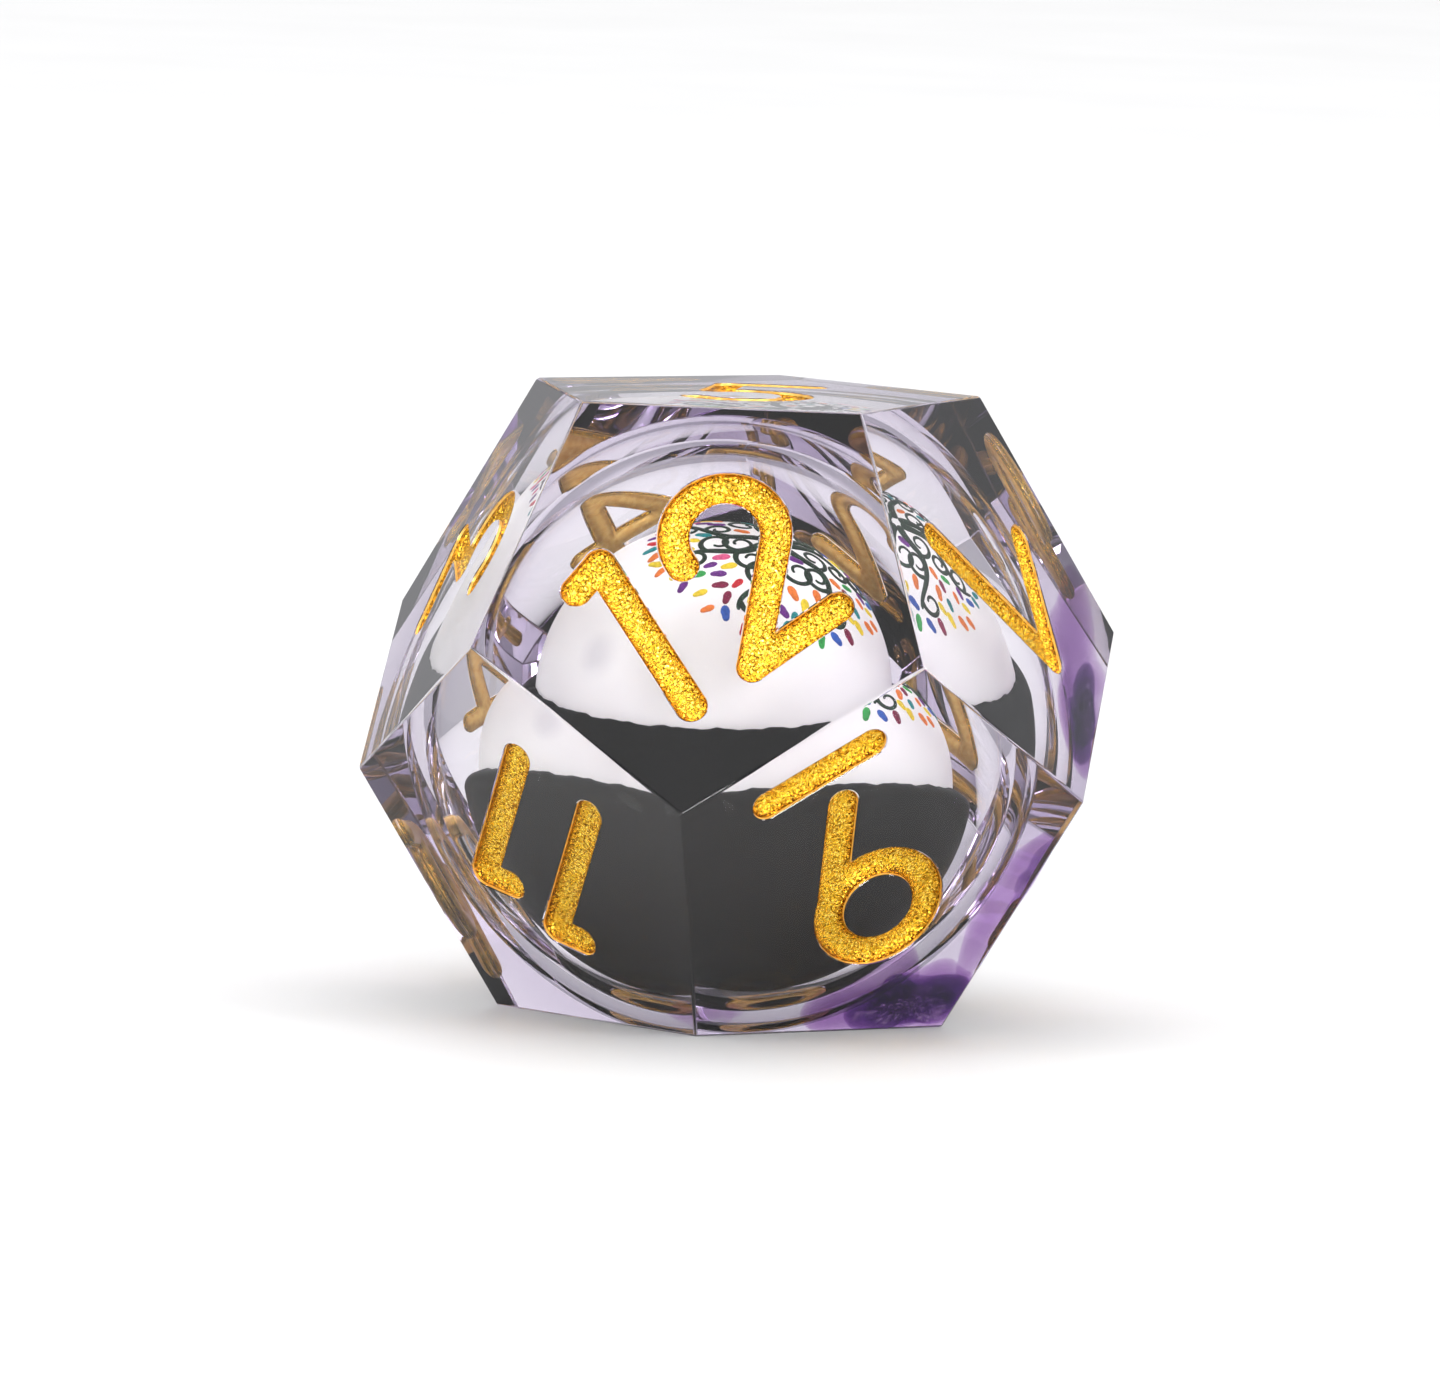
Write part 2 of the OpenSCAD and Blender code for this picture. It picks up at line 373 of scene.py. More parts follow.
# the gold of a number's bed, and two darker copies of it as painted shade: for the slope round it and for
# the rim against the wall
GOLD_WITH_PAINTED_SHADE = [
    gold_material("gold_flake_bed", [
        (0.0, (0.28, 0.11, 0.004)),
        (0.22, (0.68, 0.36, 0.012)),
        (0.65, (0.87, 0.53, 0.022)),
        (1.0, (0.98, 0.74, 0.13)),
    ], 0.85),
    # painted shade: a darker copy of the gold for the slope round the bed
    gold_material("gold_flake_slope_painted_shade", [
        (0.0, (0.16, 0.06, 0.002)),
        (0.25, (0.52, 0.23, 0.006)),
        (0.7, (0.80, 0.43, 0.016)),
        (1.0, (0.94, 0.64, 0.08)),
    ], 0.85),
    # painted shade: the darkest copy of the gold, for the rim against the wall
    gold_material("gold_flake_rim_painted_shade", [
        (0.0, (0.11, 0.03, 0.002)),
        (0.35, (0.38, 0.14, 0.004)),
        (0.8, (0.62, 0.28, 0.009)),
        (1.0, (0.82, 0.48, 0.03)),
    ], 0.65),
]
PAINT_BACK = paint_back_material()
RESIN = clear_material("clear_resin", RESIN_INDEX)
CAPSULE = clear_material("capsule_acrylic", CAPSULE_INDEX / RESIN_INDEX)
LIQUID = clear_material("core_liquid", LIQUID_INDEX / CAPSULE_INDEX)
GREY_SPOT = (BALL_CENTRE + Vector((-4.2, -5.65, 2.85)) * MM, 1.6 * MM, (0.84, 0.84, 0.86))
BALL_WHITE = plastic_material("ball_white", (0.92, 0.935, 0.89), (0.97, 0.985, 0.94), 0.28, GREY_SPOT)
BALL_BLACK = plastic_material("ball_black", (0.002, 0.002, 0.002), (0.004, 0.004, 0.004), 0.42)
TINT = clear_material("lavender_tint", 1.0, absorb=((0.60, 0.52, 0.68), 95.0))
INK = clear_material("violet_ink", 1.0, absorb=((0.38, 0.06, 0.56), 2600.0))
THIN_INK = clear_material("thin_violet_ink", 1.0, absorb=((0.52, 0.20, 0.64), 900.0))
BRANCH = ink_print_material("print_branch", (0.012, 0.035, 0.018))
LEAVES = [
    ink_print_material("print_leaf_" + name, colour)
    for name, colour in (
        ("red", (0.62, 0.02, 0.03)),
        ("maroon", (0.22, 0.01, 0.05)),
        ("orange", (0.80, 0.20, 0.03)),
        ("yellow", (0.86, 0.66, 0.03)),
        ("green", (0.03, 0.36, 0.07)),
        ("teal", (0.01, 0.26, 0.26)),
        ("blue", (0.03, 0.10, 0.42)),
        ("purple", (0.14, 0.02, 0.22)),
        ("pink", (0.72, 0.10, 0.24)),
    )
]

# ---------------------------------------------------------------- engraved numbers

RIM_WIDTH = 0.035 * MM        # the small bevel round each groove
RIM_DEPTH = 0.03 * MM
GROOVE_DEPTH = 0.5 * MM
HALF_STROKE = 0.62 * MM
PAINT_EDGE = 0.055 * MM       # how far below the face the paint begins
PAINT_SKIRT = 0.02 * MM       # the paint's thickness at its border
PAINT_HOLLOW = 0.34 * MM      # how much lower the paint lies in the middle of a stroke
PAINT_FLOOR = 0.46 * MM
DARKEST_PAINTED_SHADE_REACH = 0.09 * MM          # the gold's painted shade in three tones, by distance from the wall: darkest nearest it
HALF_PAINTED_SHADE_REACH = 0.24 * MM
GRID_STEP = 0.1 * MM
GRID_CLEAR = 0.16 * MM        # the regular net keeps this far from the outline
NET_RINGS = (0.012 * MM, 0.04 * MM, 0.09 * MM)
OUTLINE_STEP = 0.16 * MM

PAINT_NODES = {name: int(name.split("_")[1]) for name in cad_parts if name.startswith("paint_")}


def outline_loops(node, face):
    """The closed outlines of a painted glyph's top, in the face's flat frame, glyph on the left."""
    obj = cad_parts[node]
    bm = bmesh.new()
    bm.from_mesh(obj.data)
    bm.transform(obj.matrix_world)
    bmesh.ops.remove_doubles(bm, verts=bm.verts, dist=1e-7)
    bm.normal_update()
    tops = {f for f in bm.faces if f.normal.dot(face.normal) > 0.999}
    follow = {}
    for f in tops:
        for loop in f.loops:
            if sum(1 for g in loop.edge.link_faces if g in tops) == 1:
                follow[loop.vert] = loop.link_loop_next.vert
    loops = []
    while follow:
        start, after = next(iter(follow.items()))
        chain = [start]
        del follow[start]
        while after is not start:
            chain.append(after)
            after = follow.pop(after)
        loops.append([Vector(face.flat(v.co)) for v in chain])
    bm.free()
    return [resample(loop) for loop in loops]


def resample(loop):
    """Long straight runs get extra points, so that later triangles stay even."""
    points = []
    for a, b in zip(loop, loop[1:] + loop[:1]):
        pieces = max(1, round((b - a).length / OUTLINE_STEP))
        points += [a.lerp(b, k / pieces) for k in range(pieces)]
    return points


def offset_loop(loop, distance):
    """The loop moved to its right (out of the glyph) by a distance, or into it if negative."""
    moved = []
    for before, here, after in zip(loop[-1:] + loop[:-1], loop, loop[1:] + loop[:1]):
        a = (here - before).normalized()
        b = (after - here).normalized()
        normal_a = Vector((a.y, -a.x))
        normal_b = Vector((b.y, -b.x))
        mitre = normal_a + normal_b
        mitre = mitre / max(0.5, mitre.dot(normal_a))
        moved.append(here + distance * mitre)
    return moved


def distance_to_loops(points, loops):
    """Distance from each point to the nearest outline."""
    p = np.array([tuple(q) for q in points])
    best = np.full(len(p), 1e9)
    for loop in loops:
        a = np.array([tuple(q) for q in loop])
        b = np.roll(a, -1, axis=0)
        run = b - a
        length = np.maximum((run ** 2).sum(1), 1e-20)
        for start in range(0, len(p), 2000):
            block = p[start:start + 2000]
            t = ((block[:, None, :] - a[None]) * run[None]).sum(2) / length[None]
            near = a[None] + np.clip(t, 0, 1)[..., None] * run[None]
            gap = np.sqrt(((block[:, None, :] - near) ** 2).sum(2)).min(1)
            best[start:start + 2000] = np.minimum(best[start:start + 2000], gap)
    return best


def inside(points, loops):
    """True for each point that an odd number of outlines goes round."""
    p = np.array([tuple(q) for q in points])
    odd = np.zeros(len(p), bool)
    for loop in loops:
        a = np.array([tuple(q) for q in loop])
        b = np.roll(a, -1, axis=0)
        for (ax, ay), (bx, by) in zip(a, b):
            crosses = (ay > p[:, 1]) != (by > p[:, 1])
            if ay != by:
                reach = ax + (p[:, 1] - ay) / (by - ay) * (bx - ax)
                odd ^= crosses & (p[:, 0] < reach)
    return odd


MM_PER_METRE = 1000.0


def triangulate(loops, extra=()):
    """Constrained Delaunay triangles of the region that the loops bound: (points, triangles).
    They are worked out in millimetres, where the function's own tolerance is small enough."""
    points, edges = [], []
    for loop in loops:
        first = len(points)
        points += [q * MM_PER_METRE for q in loop]
        edges += [(first + k, first + (k + 1) % len(loop)) for k in range(len(loop))]
    points += [q * MM_PER_METRE for q in extra]
    got = delaunay_2d_cdt(points, edges, [], 0, 1e-9)
    spots = [Vector(q) / MM_PER_METRE for q in got[0]]
    triangles = [tuple(t) for t in got[2]]
    middles = [(spots[a] + spots[b] + spots[c]) / 3 for a, b, c in triangles]
    keep = inside(middles, loops)
    return spots, [t for t, k in zip(triangles, keep) if k]


def groove_profile(distance):
    """From 0 at the outline to 1 in the middle of a stroke, as a round-bottomed cut."""
    t = np.clip(distance / HALF_STROKE, 0, 1)
    return np.sqrt(np.clip(1 - (1 - t) ** 2, 0, 1))


class Glyph:
    """One engraved figure: its outlines and a fine triangle net inside them."""

    def __init__(self, node, number):
        self.node, self.face = node, FACES[number]
        self.loops = outline_loops(node, self.face)
        self.rims = [offset_loop(loop, RIM_WIDTH) for loop in self.loops]
        grid = self.grid()
        gap = distance_to_loops(grid, self.loops)
        within = inside(grid, self.loops)
        extra = [q for q, g, w in zip(grid, gap, within) if w and g > GRID_CLEAR]
        for depth in NET_RINGS:
            ring = [q for loop in self.loops for q in offset_loop(loop, -depth)]
            gap = distance_to_loops(ring, self.loops)
            within = inside(ring, self.loops)
            extra += [q for q, g, w in zip(ring, gap, within) if w and g > 0.93 * depth]
        self.points, self.triangles = triangulate(self.loops, extra)
        self.gap = distance_to_loops(self.points, self.loops)
        self.gap[self.gap < 1e-7] = 0
        self.profile = groove_profile(self.gap)

    def grid(self):
        """Points in staggered rows over the glyph's box."""
        flat = [q for loop in self.loops for q in loop]
        xs, ys = [q.x for q in flat], [q.y for q in flat]
        rows = int((max(ys) - min(ys)) / GRID_STEP) + 1
        columns = int((max(xs) - min(xs)) / GRID_STEP) + 1
        return [
            Vector((min(xs) + (j + 0.5 * (i % 2)) * GRID_STEP, min(ys) + i * GRID_STEP))
            for i in range(rows) for j in range(columns)
        ]

    def sheet(self, bm, edge_height, drop, flip=False, index=0):
        """Adds the net to a mesh at edge_height, bulging down by drop in the middle of the strokes."""
        face = self.face
        verts = [
            bm.verts.new(face.lift(q.x, q.y, edge_height - drop * float(p)))
            for q, p in zip(self.points, self.profile)
        ]
        for a, b, c in self.triangles:
            order = (a, c, b) if flip else (a, b, c)
            made = bm.faces.new([verts[k] for k in order])
            made.smooth = True
            made.material_index = index

    def wall(self, bm, top, bottom, top_loops=None):
        """Adds the strip between two heights round every outline."""
        for upper, lower in zip(top_loops or self.loops, self.loops):
            a = [bm.verts.new(self.face.lift(q.x, q.y, top)) for q in upper]
            b = [bm.verts.new(self.face.lift(q.x, q.y, bottom)) for q in lower]
            for k in range(len(a)):
                n = (k + 1) % len(a)
                bm.faces.new((a[k], a[n], b[n], b[k]))


GLYPHS = [Glyph(node, number) for node, number in sorted(PAINT_NODES.items())]

# ---------------------------------------------------------------- resin body

def block_points(inset=0.0):
    """Corners of the polished block with its flats inset: on each face, and where edge flats meet."""
    def edge(a, b):
        normal, distance = edge_plane(a, b)
        return normal, distance - inset

    on_face, at_tip = {}, {}
    for corner in CORNERS:
        a, b, c = corner
        at_tip[corner] = plane_point([edge(a, b), edge(b, c), edge(a, c)])
        for face in corner:
            edges = [edge(face, x) for x in corner if x != face]
            on_face[face, corner] = plane_point([(NORMALS[face], INRADIUS - inset)] + edges)
    return on_face, at_tip


def edge_rings(on_face, at_tip):
    """The six corners of each of the thirty narrow edge flats."""
    for a in NORMALS:
        for b in NORMALS:
            if a < b and adjacent(a, b):
                first, second = [c for c in CORNERS if a in c and b in c]
                yield [
                    on_face[a, first], at_tip[first], on_face[b, first],
                    on_face[b, second], at_tip[second], on_face[a, second],
                ]


def face_border(number, on_face):
    """The five corners of a face, in order."""
    return around(FACES[number], [on_face[number, c] for c in CORNERS if number in c])


def resin_mesh():
    """The polished block: twelve faces with engraved grooves, thirty narrow edge flats."""
    bm = bmesh.new()
    on_face, at_tip = block_points()
    for number, face in FACES.items():
        border = [Vector(face.flat(p)) for p in face_border(number, on_face)]
        holes = [rim for g in GLYPHS if g.face is face for rim in g.rims]
        spots, triangles = triangulate([border] + holes)
        verts = [bm.verts.new(face.lift(q.x, q.y)) for q in spots]
        for t in triangles:
            bm.faces.new([verts[k] for k in t])
    for ring in edge_rings(on_face, at_tip):
        bm.faces.new([bm.verts.new(p) for p in ring])
    for glyph in GLYPHS:
        glyph.wall(bm, 0.0, -RIM_DEPTH, top_loops=glyph.rims)
        glyph.sheet(bm, -RIM_DEPTH, GROOVE_DEPTH - RIM_DEPTH, index=1)
    mesh = finish_mesh(bm, "resin_block")
    round_edges(mesh)
    return mesh


def round_edges(mesh):
    """Shades the thirty narrow edge flats as rounded, from one face's direction to the other's."""
    normals = [Vector(corner.vector) for corner in mesh.corner_normals]
    for polygon in mesh.polygons:
        if polygon.loop_total != 6:
            continue
        for k in polygon.loop_indices:
            spot = mesh.vertices[mesh.loops[k].vertex_index].co - CENTRE
            reach = max(spot.dot(n) for n in NORMALS.values())
            touching = [n for n in NORMALS.values() if spot.dot(n) > reach - 0.2 * EDGE_BREAK]
            normals[k] = sum(touching, Vector()).normalized()
    mesh.normals_split_custom_set(normals)


def paint_mesh(glyph):
    """The paint in a groove: hollow on top, with painted shade that makes the flakes duller towards the
    walls.
    """
    bm = bmesh.new()
    glyph.sheet(bm, -PAINT_EDGE, PAINT_HOLLOW)
    bm.faces.ensure_lookup_table()
    for face, corners in zip(bm.faces, glyph.triangles):
        gap = sum(float(glyph.gap[k]) for k in corners) / 3
        # painted shade: triangles nearer the wall take the darker gold copies
        face.material_index = 2 if gap < DARKEST_PAINTED_SHADE_REACH else 1 if gap < HALF_PAINTED_SHADE_REACH else 0
    glyph.sheet(bm, -PAINT_EDGE - PAINT_SKIRT, PAINT_FLOOR - PAINT_EDGE - PAINT_SKIRT, flip=True)
    glyph.wall(bm, -PAINT_EDGE, -PAINT_EDGE - PAINT_SKIRT)
    return finish_mesh(bm, glyph.node + "_fill")


new_object("resin_block", resin_mesh(), [RESIN, PAINT_BACK], "die", ["resin_body"])
for glyph in GLYPHS:
    new_object(glyph.node + "_fill", paint_mesh(glyph), GOLD_WITH_PAINTED_SHADE, "die", [glyph.node])

# ---------------------------------------------------------------- colour in the resin

INSET = 0.05 * MM


def tint_mesh():
    """The lavender cast of the resin alone: a plain block just below the die's own surface, with a
    round void for the capsule. Its faces are all flat shaded, as a mixed mesh loses its volume."""
    bm = bmesh.new()
    on_face, at_tip = block_points(INSET)
    corners = {tuple(p): bm.verts.new(p) for p in [*on_face.values(), *at_tip.values()]}
    outlines = [face_border(number, on_face) for number in FACES] + list(edge_rings(on_face, at_tip))
    for outline in outlines:
        bm.faces.new([corners[tuple(p)] for p in outline])
    bmesh.ops.recalc_face_normals(bm, faces=bm.faces)
    shell = bmesh.new()
    add_sphere(shell, CORE, CAPSULE_RADIUS + INSET)
    bmesh.ops.reverse_faces(shell, faces=shell.faces)
    void = bpy.data.meshes.new("void")
    shell.to_mesh(void)
    shell.free()
    bm.from_mesh(void)
    bpy.data.meshes.remove(void)
    mesh = bpy.data.meshes.new("resin_tint")
    bm.to_mesh(mesh)
    bm.free()
    return mesh


INK_MARGIN = 0.1 * MM


def reach_in_resin(start, way):
    """How far a ray runs inside the resin before it meets a flat or the capsule."""
    reach = 1.0
    for normal in NORMALS.values():
        slope = way.dot(normal)
        if slope > 1e-6:
            reach = min(reach, (INRADIUS - INK_MARGIN - (start - CENTRE).dot(normal)) / slope)
    offset = start - CORE
    b = offset.dot(way)
    gap = b * b - offset.length_squared + (CAPSULE_RADIUS + INK_MARGIN) ** 2
    if b < 0 and gap > 0:
        reach = min(reach, -b - math.sqrt(gap))
    return max(reach, 0.01 * MM)


def ink_mesh(name, middle, size, stretch, seed):
    """A cloud of ink about a point: a lumpy closed shell, cut short where the resin ends."""
    rng = random.Random(seed)
    middle = Vector(middle) * MM
    axis = Vector(stretch).normalized()
    long = Vector(stretch).length
    waves = [
        (Vector([rng.uniform(-5, 5) for _ in range(3)]), rng.uniform(0, 6.28), rng.uniform(0.05, 0.15))
        for _ in range(8)
    ]
    bm = bmesh.new()
    bmesh.ops.create_icosphere(bm, subdivisions=5, radius=1.0)
    for vert in bm.verts:
        way = vert.co.normalized()
        lump = 1 + sum(h * math.sin(f.dot(way) + p) for f, p, h in waves)
        along = way.dot(axis)
        oval = long / math.sqrt(along ** 2 + (1 - along ** 2) * long ** 2)
        radius = min(size * MM * lump * oval, reach_in_resin(middle, way))
        vert.co = middle + radius * way
    for face in bm.faces:
        face.smooth = True
    return finish_mesh(bm, name, weld=1e-9)


new_object("resin_tint", tint_mesh(), [TINT], "die")

# name: (ink, middle in mm, radius in mm, the way it is drawn out, whose length is the ratio)
CLOUDS = {
    "ink_pool": (INK, (7.4, -3.7, 1.0), 0.75, (2.0, 1.4, 0.3)),
    "ink_pool_bloom": (INK, (7.3, -3.8, 1.2), 1.1, (2.1, 1.5, 0.3)),
    "ink_pool_halo": (THIN_INK, (7.2, -3.9, 1.3), 1.5, (2.1, 1.5, 0.4)),
    "ink_edge": (INK, (12.2, -3.9, 5.8), 0.6, (-1.7, 0.5, -3.2)),
    "ink_edge_halo": (THIN_INK, (11.4, -3.8, 5.2), 1.2, (-1.7, 0.5, -3.0)),
    "ink_side": (INK, (13.4, -1.2, 11.6), 0.62, (0.0, 3.4, 2.0)),
    "ink_side_bloom": (INK, (13.2, -0.4, 12.2), 0.75, (0.0, 3.4, 2.1)),
    "ink_haze": (THIN_INK, (12.6, 1.0, 13.6), 1.4, (-0.8, 2.4, 2.4)),
    "ink_foot": (THIN_INK, (0.2, -7.0, 1.3), 0.45, (2.6, 0.5, 0.1)),
}
for seed, (name, (shade, middle, size, stretch)) in enumerate(CLOUDS.items()):
    new_object(name, ink_mesh(name, middle, size, stretch, seed), [shade], "die")

# ---------------------------------------------------------------- capsule, liquid and ball

new_object("capsule_glass", ball_mesh("capsule_glass", CORE, CAPSULE_RADIUS), [CAPSULE], "die",
           ["capsule_upper", "capsule_lower", "fill_plug"])
new_object("liquid_fill", ball_mesh("liquid_fill", LIQUID_CENTRE, LIQUID_RADIUS), [LIQUID], "liquid",
           ["fill_liquid"])


def cup_mesh():
    """The black cup: a bowl with a rounded shoulder and a slightly uneven painted rim."""
    shoulder = 0.85 * MM
    outer = arc_points(CUP_RADIUS, math.pi, math.acos((RIM_HEIGHT - shoulder) / CUP_RADIUS), 48)
    start = outer[-1]
    bend = (start[0] - 0.08 * MM, RIM_HEIGHT - 0.25 * MM)
    lip = (BALL_RADIUS + 0.12 * MM, RIM_HEIGHT)
    blend = [
        tuple((1 - t) ** 2 * a + 2 * t * (1 - t) * b + t * t * c for a, b, c in zip(start, bend, lip))
        for t in (k / 8 for k in range(1, 9))
    ]
    inner = arc_points(BALL_RADIUS + 0.01 * MM, math.acos(RIM_HEIGHT / BALL_RADIUS), math.pi, 48)

    def wobble(z, angle):
        near = max(0.0, 1 - abs(z - RIM_HEIGHT) / (0.3 * MM))
        wave = math.sin(23 * angle) + 0.7 * math.sin(41 * angle + 1) + 0.6 * math.sin(67 * angle + 2)
        return -near * 0.035 * MM * wave

    return revolve("ball_cup_shell", BALL_CENTRE, outer + blend + inner, wobble=wobble)


new_object("ball_white_dome", ball_mesh("ball_white_dome", BALL_CENTRE, BALL_RADIUS), [BALL_WHITE], "ball",
           ["ball_shell", "ball_weight"])
new_object("ball_black_cup", cup_mesh(), [BALL_BLACK], "ball", ["ball_cup"])

# ---------------------------------------------------------------- tree print on the ball

PRINT_REACH = PRINT_ANGLE * BALL_RADIUS
PRINT_TURN = Matrix.Rotation(PRINT_HEADING, 3, "Z") @ Matrix.Rotation(PRINT_LEAN, 3, "Y")
PRINT_TOP = 0.045 * MM
PRINT_SUNK = -0.01 * MM
BRANCH_PROFILE = (
    (-1, PRINT_SUNK), (-0.6, 0.75 * PRINT_TOP), (0, PRINT_TOP), (0.6, 0.75 * PRINT_TOP), (1, PRINT_SUNK),
)


def on_cap(u, v, height):
    """A point of the flat print wrapped on the ball's cap."""
    reach = math.hypot(u, v)
    polar = reach / BALL_RADIUS
    azimuth = math.atan2(v, u)
    radius = BALL_RADIUS + height
    flat = math.sin(polar)
    way = Vector((flat * math.cos(azimuth), flat * math.sin(azimuth), math.cos(polar)))
    return BALL_CENTRE + radius * (PRINT_TURN @ way)


def add_branch(bm, line, start_width, end_width):
    """A low rounded ribbon along a flat polyline, closed at both ends."""
    last = len(line) - 1
    rows = []
    for k, here in enumerate(line):
        way = (line[min(k + 1, last)] - line[max(k - 1, 0)]).normalized()
        aside = Vector((-way.y, way.x))
        t = k / last
        half = 0.5 * (start_width + (end_width - start_width) * t)
        if k in (0, last):
            half *= 0.45
        rows.append([
            bm.verts.new(on_cap(*(here + half * across * aside), height))
            for across, height in BRANCH_PROFILE
        ])
    for a, b in zip(rows, rows[1:]):
        for j in range(4):
            bm.faces.new((a[j], a[j + 1], b[j + 1], b[j]))
        bm.faces.new((a[4], a[0], b[0], b[4]))
    bm.faces.new(rows[0])
    bm.faces.new(rows[-1][::-1])


LEAF_SIDES = 14


def add_leaf(bm, middle, angle, length, width, index):
    """A small almond-shaped dome, sharper at its outer end."""
    way = Vector((math.cos(angle), math.sin(angle)))
    aside = Vector((-way.y, way.x))
    rings = []
    for scale, height in ((1, PRINT_SUNK), (0.85, 0.7 * PRINT_TOP)):
        ring = []
        for j in range(LEAF_SIDES):
            a = 2 * math.pi * j / LEAF_SIDES
            tip = 1 - 0.28 * math.sin(a) ** 2 * (1 if math.cos(a) > 0 else 0.4)
            spot = middle + 0.5 * scale * (length * math.cos(a) * way + width * tip * math.sin(a) * aside)
            ring.append(bm.verts.new(on_cap(*spot, height)))
        rings.append(ring)
    top = bm.verts.new(on_cap(*middle, PRINT_TOP))
    under = bm.verts.new(on_cap(*middle, PRINT_SUNK))
    for j in range(LEAF_SIDES):
        n = (j + 1) % LEAF_SIDES
        for made in (
            bm.faces.new((rings[0][j], rings[0][n], rings[1][n], rings[1][j])),
            bm.faces.new((rings[1][j], rings[1][n], top)),
            bm.faces.new((rings[0][n], rings[0][j], under)),
        ):
            made.material_index = index


LIMBS = 7
LIMB_STEPS = 40
TWIG_STEPS = 36


def limb_line(rng, heading):
    """One limb that wanders out from the middle of the print."""
    sway, phase = rng.uniform(0.25, 0.4), rng.uniform(0, 6.28)
    reach = PRINT_REACH * rng.uniform(0.74, 0.86)
    limb = []
    for j in range(LIMB_STEPS + 1):
        out = (0.06 + 0.94 * j / LIMB_STEPS) * reach
        turn = heading + sway * math.sin(out / (0.9 * MM) + phase) * min(1, out / (2 * MM)) * 0.8
        limb.append(Vector((out * math.cos(turn), out * math.sin(turn))))
    return limb


def twig_line(rng, limb, part, hand):
    """A twig that leaves a limb part of the way along and curls up to one hand."""
    at = int(part * LIMB_STEPS)
    way = (limb[at] - limb[at - 1]).normalized()
    angle = math.atan2(way.y, way.x) + hand * rng.uniform(0.5, 0.8)
    spot = limb[at].copy()
    twig = [spot.copy()]
    size = rng.uniform(0.55, 0.8) * MM
    stride = 2 * math.pi * rng.uniform(1.0, 1.35) / TWIG_STEPS
    for j in range(TWIG_STEPS):
        bend = size * (1 - 0.72 * (j / TWIG_STEPS))
        angle += hand * stride
        spot = spot + bend * stride * Vector((math.cos(angle), math.sin(angle)))
        twig.append(spot.copy())
    return twig


def tree_lines(rng):
    """The tree's limbs and curling twigs: (points, first width, last width)."""
    lines = []
    for k in range(LIMBS):
        limb = limb_line(rng, 2 * math.pi * (k + rng.uniform(-0.12, 0.12)) / LIMBS)
        lines.append((limb, 0.62 * MM, 0.2 * MM))
        for part, hand in ((0.42, 1), (0.66, -1), (0.9, 1)):
            twig = twig_line(rng, limb, part, hand)
            if all(q.length < 0.97 * PRINT_REACH for q in twig):
                lines.append((twig, 0.28 * MM, 0.14 * MM))
    return lines


LEAF_TRIES = 9000
LEAF_FROM_BRANCH = 0.34 * MM
LEAF_FROM_LEAF = 0.62 * MM


def print_mesh():
    """The printed tree: branches from the middle, and leaves wherever there is room between them."""
    rng = random.Random(11)
    bm = bmesh.new()
    lines = tree_lines(rng)
    for points, first, last in lines:
        add_branch(bm, points, first, last)
    drawn = [q for points, _, _ in lines for q in points[::2]]
    placed = []
    for _ in range(LEAF_TRIES):
        out = PRINT_REACH * math.sqrt(rng.uniform(0.05, 1)) * 0.95
        turn = rng.uniform(0, 2 * math.pi)
        spot = Vector((out * math.cos(turn), out * math.sin(turn)))
        if any((spot - q).length < LEAF_FROM_BRANCH for q in drawn):
            continue
        if any((spot - q).length < LEAF_FROM_LEAF for q in placed):
            continue
        placed.append(spot)
        length = rng.uniform(0.62, 0.88) * MM
        angle = turn + rng.uniform(-0.9, 0.9)
        add_leaf(bm, spot, angle, length, 0.6 * length, rng.randint(1, len(LEAVES)))
    for face in bm.faces:
        face.smooth = True
    return finish_mesh(bm, "tree_print", weld=1e-9)


new_object("tree_print", print_mesh(), [BRANCH] + LEAVES, "ball", ["ball_print"])

# ---------------------------------------------------------------- stage, light and camera

FLOOR_REACH = 1.5
FLOOR_STEPS = 12


def floor_mesh():
    """A flat square net round the die, at its foot."""
    bm = bmesh.new()
    marks = [FLOOR_REACH * (2 * i / FLOOR_STEPS - 1) for i in range(FLOOR_STEPS + 1)]
    grid = [[bm.verts.new((x, y, 0.0)) for x in marks] for y in marks]
    for front, back in zip(grid, grid[1:]):
        for i in range(FLOOR_STEPS):
            bm.faces.new((front[i], front[i + 1], back[i + 1], back[i]))
    mesh = bpy.data.meshes.new("floor")
    bm.to_mesh(mesh)
    bm.free()
    return mesh


def floor_material():
    mat, tree, shader = material("studio_floor")
    mottle = noise(tree, grain=25 * MM, detail=3)
    tone = ramp(tree, mottle, [(0.3, (0.56, 0.56, 0.56)), (0.7, (0.58, 0.58, 0.58))])
    tree.links.new(tone, shader.inputs["Base Color"])
    shader.inputs["Roughness"].default_value = 0.55
    return mat


floor = bpy.data.objects.new("floor", floor_mesh())
floor.data.materials.append(floor_material())
bpy.context.scene.collection.objects.link(floor)

# the world's grey by direction: from the front (0) to the back (1), and from straight down to up
FRONT_TO_BACK = [(0.0, (0.55, 0.55, 0.56)), (0.3, (0.62, 0.62, 0.63)), (0.5, (1, 1, 1))]
DOWN_TO_UP = [
    (0.5, (0.46, 0.46, 0.48)), (0.65, (0.54, 0.54, 0.56)), (0.75, (1, 1, 1)), (0.86, (1.3, 1.3, 1.3)),
]


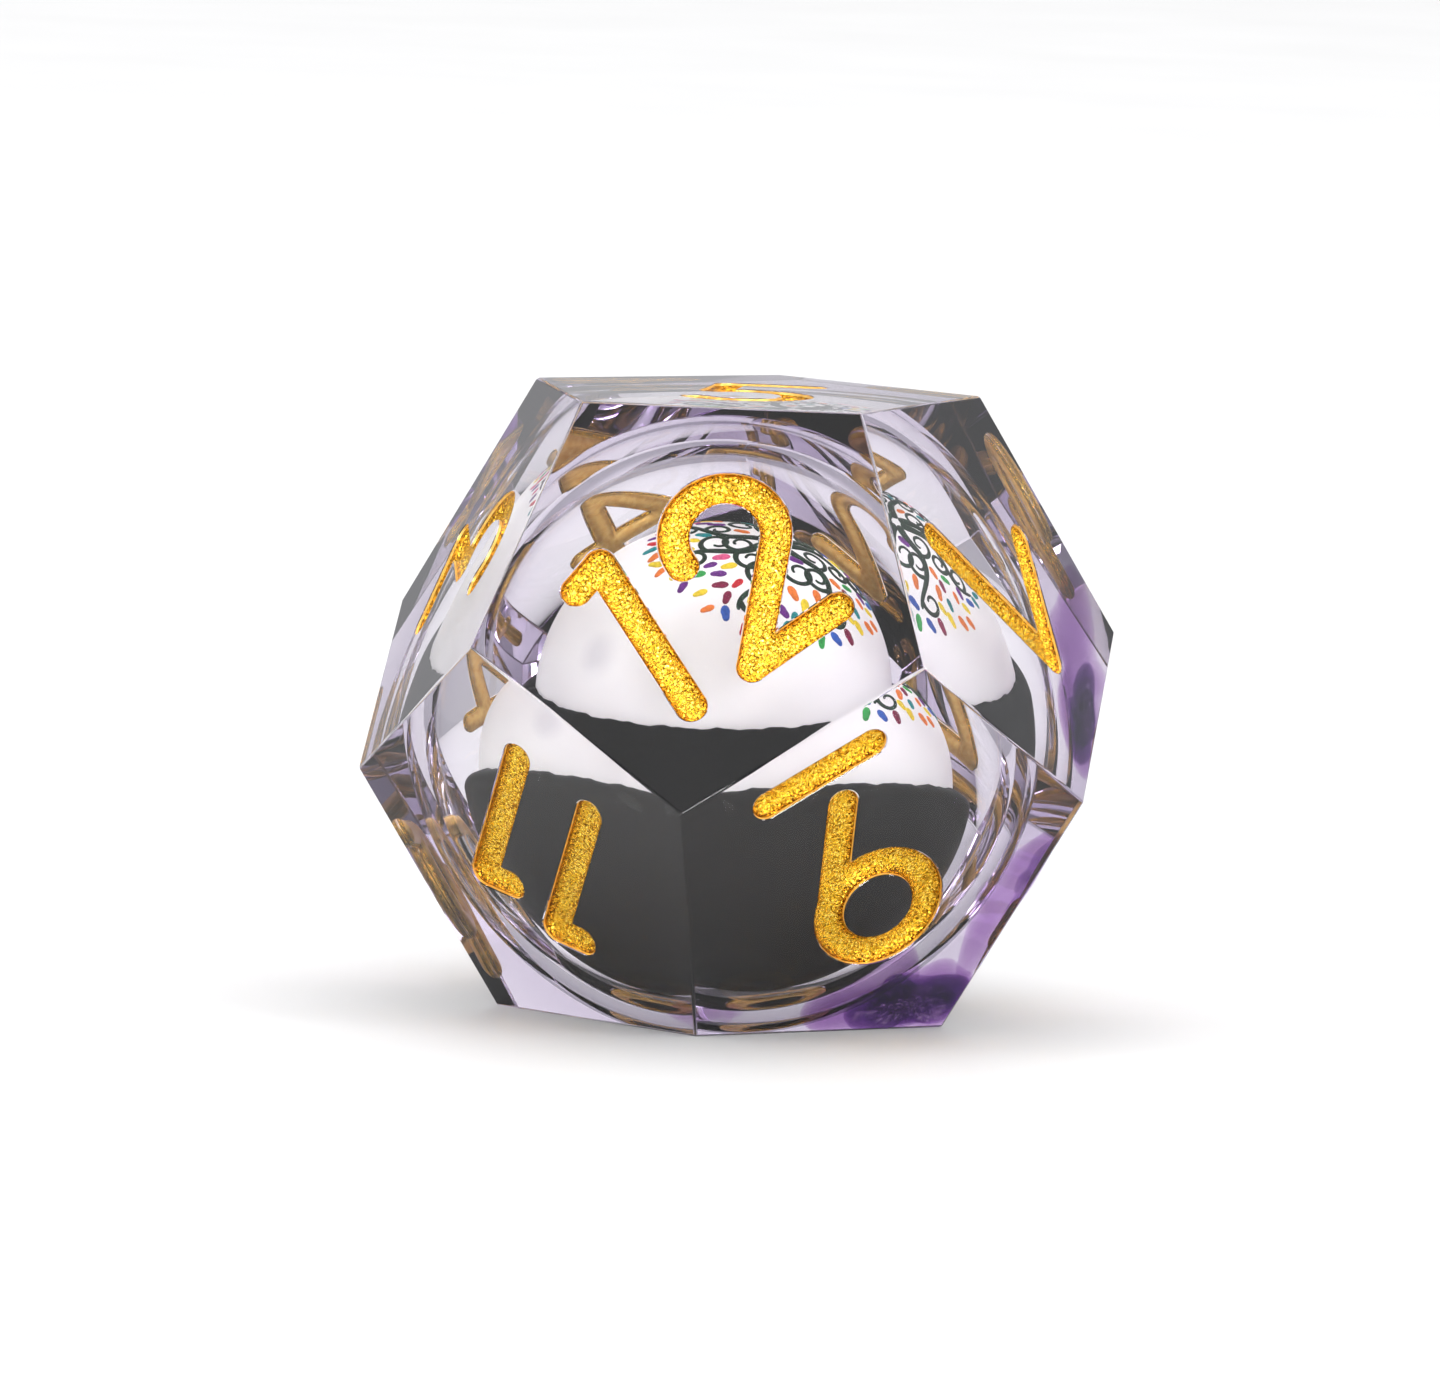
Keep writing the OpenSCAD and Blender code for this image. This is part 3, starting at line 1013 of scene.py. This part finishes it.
def world_light():
    """A white studio: brightest overhead, duller low down, which the grazing faces reflect."""
    world = bpy.data.worlds.new("studio")
    bpy.context.scene.world = world
    world.use_nodes = True
    tree = world.node_tree
    background = tree.nodes["Background"]
    split = add(tree, "ShaderNodeSeparateXYZ")
    tree.links.new(add(tree, "ShaderNodeTexCoord").outputs["Generated"], split.inputs[0])
    tones = []
    for axis, stops in (("Y", FRONT_TO_BACK), ("Z", DOWN_TO_UP)):
        part = add(tree, "ShaderNodeMath", operation="MULTIPLY_ADD")
        part.inputs[1].default_value = 0.5
        part.inputs[2].default_value = 0.5
        tree.links.new(split.outputs[axis], part.inputs[0])
        tones.append(ramp(tree, part.outputs[0], stops))
    product = add(tree, "ShaderNodeVectorMath", operation="MULTIPLY")
    tree.links.new(tones[0], product.inputs[0])
    tree.links.new(tones[1], product.inputs[1])
    tree.links.new(product.outputs[0], background.inputs["Color"])
    background.inputs["Strength"].default_value = 1.2


def area_light(name, place, size, power):
    """A softbox of a width and height that faces the die."""
    data = bpy.data.lights.new(name, "AREA")
    data.shape = "RECTANGLE"
    data.size, data.size_y = size
    data.energy = power
    light = bpy.data.objects.new(name, data)
    light.location = place
    light.rotation_mode = "QUATERNION"
    light.rotation_quaternion = (CENTRE - Vector(place)).to_track_quat("-Z", "Y")
    bpy.context.scene.collection.objects.link(light)


world_light()
area_light("softbox_top", (0.0, 0.1, 1.6), (2.2, 2.2), 24.0)
area_light("softbox_front", (0.3, -1.1, 0.14), (0.6, 0.26), 8.5)
area_light("strip_left", (-0.6, -0.25, 0.35), (0.12, 0.5), 1.4)
area_light("strip_right", (0.6, -0.2, 0.35), (0.12, 0.5), 1.8)


def place_camera():
    """The view in the picture: nearly level, a little to the right of face 12's middle, from far off.
    It slides a little sideways and up so that the die stands where it does in the picture."""
    azimuth, elevation, roll = math.radians(7.85), math.radians(6.03), math.radians(1.79)
    distance = 40 * INRADIUS
    aside, above = -0.0598 * INRADIUS, 0.0026 * INRADIUS
    lens_over_width = 8.5895
    toward = Vector((
        math.cos(elevation) * math.sin(azimuth),
        -math.cos(elevation) * math.cos(azimuth),
        math.sin(elevation),
    ))
    forward = -toward
    right = forward.cross(Vector((0, 0, 1))).normalized()
    up = right.cross(forward)
    turned_right = math.cos(roll) * right + math.sin(roll) * up
    turned_up = -math.sin(roll) * right + math.cos(roll) * up
    data = bpy.data.cameras.new("camera")
    camera = bpy.data.objects.new("camera", data)
    bpy.context.scene.collection.objects.link(camera)
    pose = Matrix((turned_right, turned_up, -forward)).transposed().to_4x4()
    pose.translation = CENTRE - distance * forward + aside * turned_right + above * turned_up
    camera.matrix_world = pose
    data.sensor_width = 36
    data.lens = lens_over_width * data.sensor_width
    data.clip_start, data.clip_end = 0.01, 20
    bpy.context.scene.camera = camera


place_camera()
scene = bpy.context.scene
scene.view_settings.view_transform = "Standard"
scene.cycles.max_bounces = 32
scene.cycles.transmission_bounces = 32
scene.cycles.glossy_bounces = 12
scene.cycles.blur_glossy = 0
